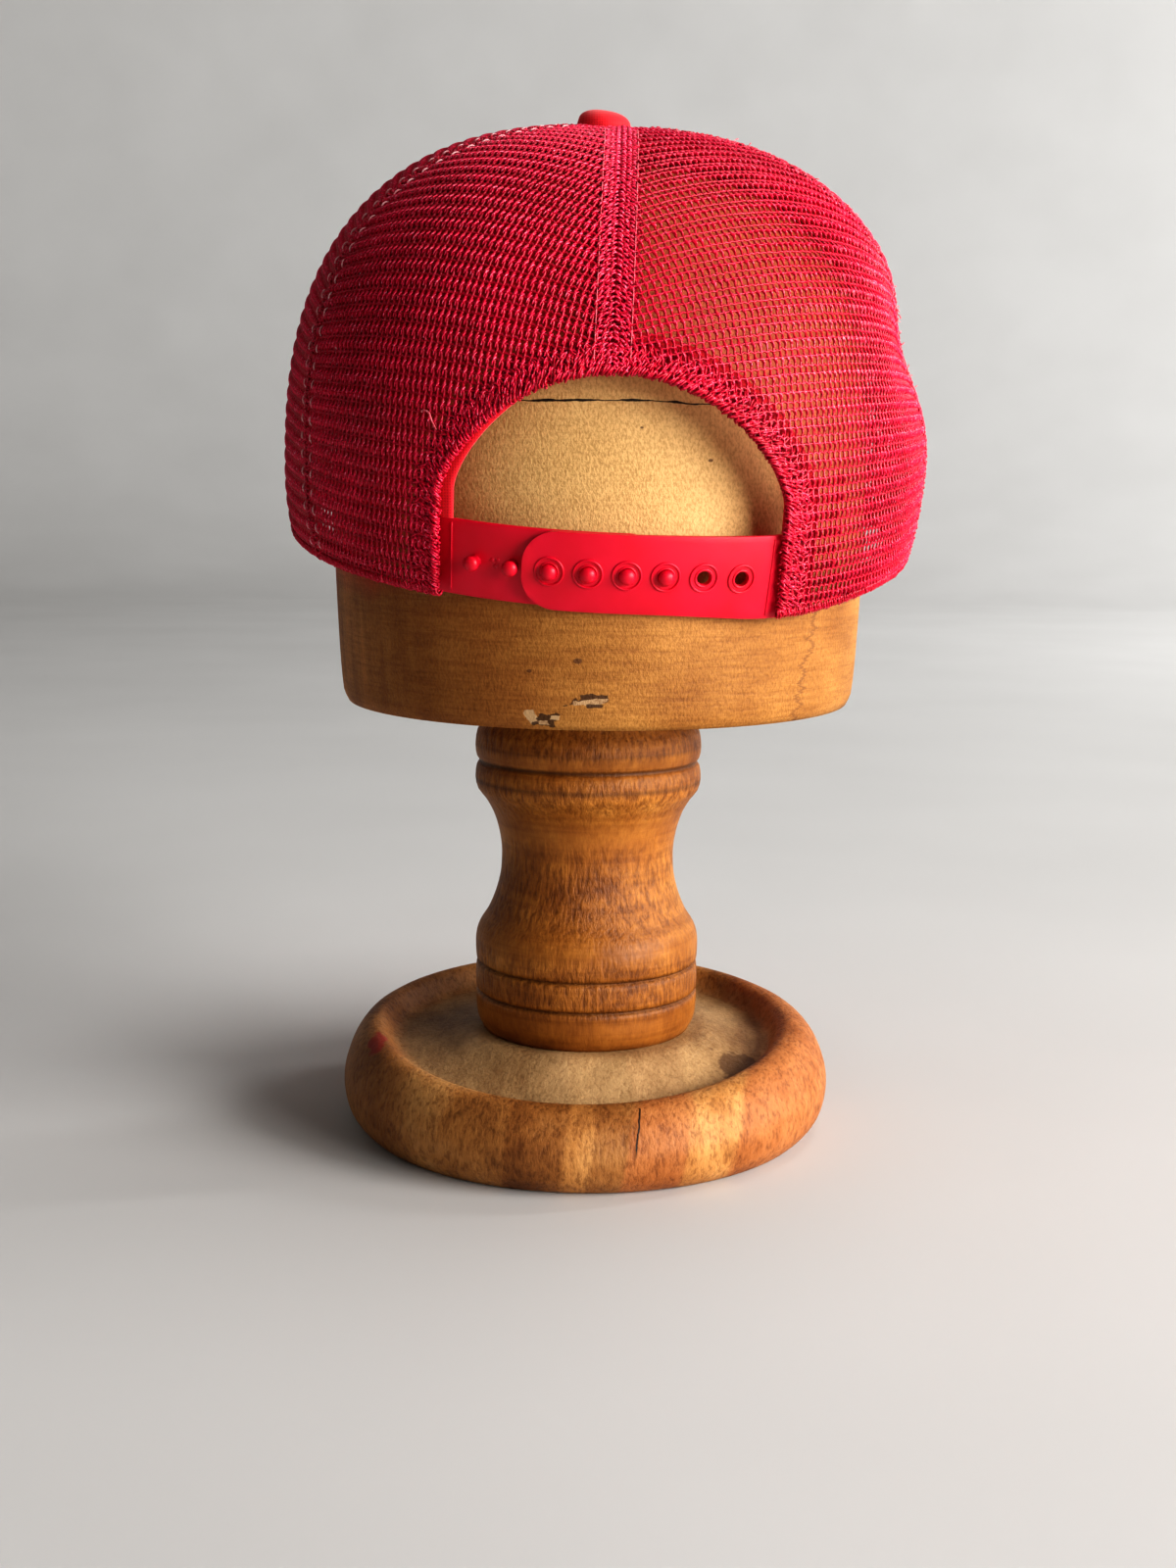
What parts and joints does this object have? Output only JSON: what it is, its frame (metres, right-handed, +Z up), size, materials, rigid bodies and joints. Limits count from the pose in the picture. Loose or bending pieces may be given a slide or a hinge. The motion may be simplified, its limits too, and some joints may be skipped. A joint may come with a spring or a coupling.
{
  "type": "mesh trucker cap on wooden hat stand",
  "caption": "Red mesh trucker cap with a foam front, curved brim and plastic snap strap, resting on an oval wooden hat block with a turned column and dished base.",
  "frame": {"origin": "centre of the stand base's underside", "axes": "+Z up through the column, +Y towards the cap's brim, -Y towards its rear arch and snap strap, +X to the right as seen from behind"},
  "size_m": [0.191, 0.2744, 0.308],
  "materials": {
    "mesh_cloth": "shiny knitted polyester mesh",
    "foam_front": "matte cloth faced foam",
    "plain_cloth": "matte woven cloth",
    "strap_plastic": "semi gloss moulded plastic",
    "block_wood": "worn, dry, pale",
    "turned_wood": "worn varnish, satin"
  },
  "bodies": {
    "root": {"back_panel_left": "mesh_cloth", "back_panel_right": "mesh_cloth", "side_panel_left": "mesh_cloth", "side_panel_right": "mesh_cloth", "front_panel": "foam_front", "brim": "plain_cloth", "crown_button": "plain_cloth", "arch_tape": "plain_cloth", "strap_peg_tab": "strap_plastic", "strap_hole_tab": "strap_plastic", "hat_block": "block_wood", "stand_column": "turned_wood", "stand_base": "turned_wood"}
  },
  "joints": []
}
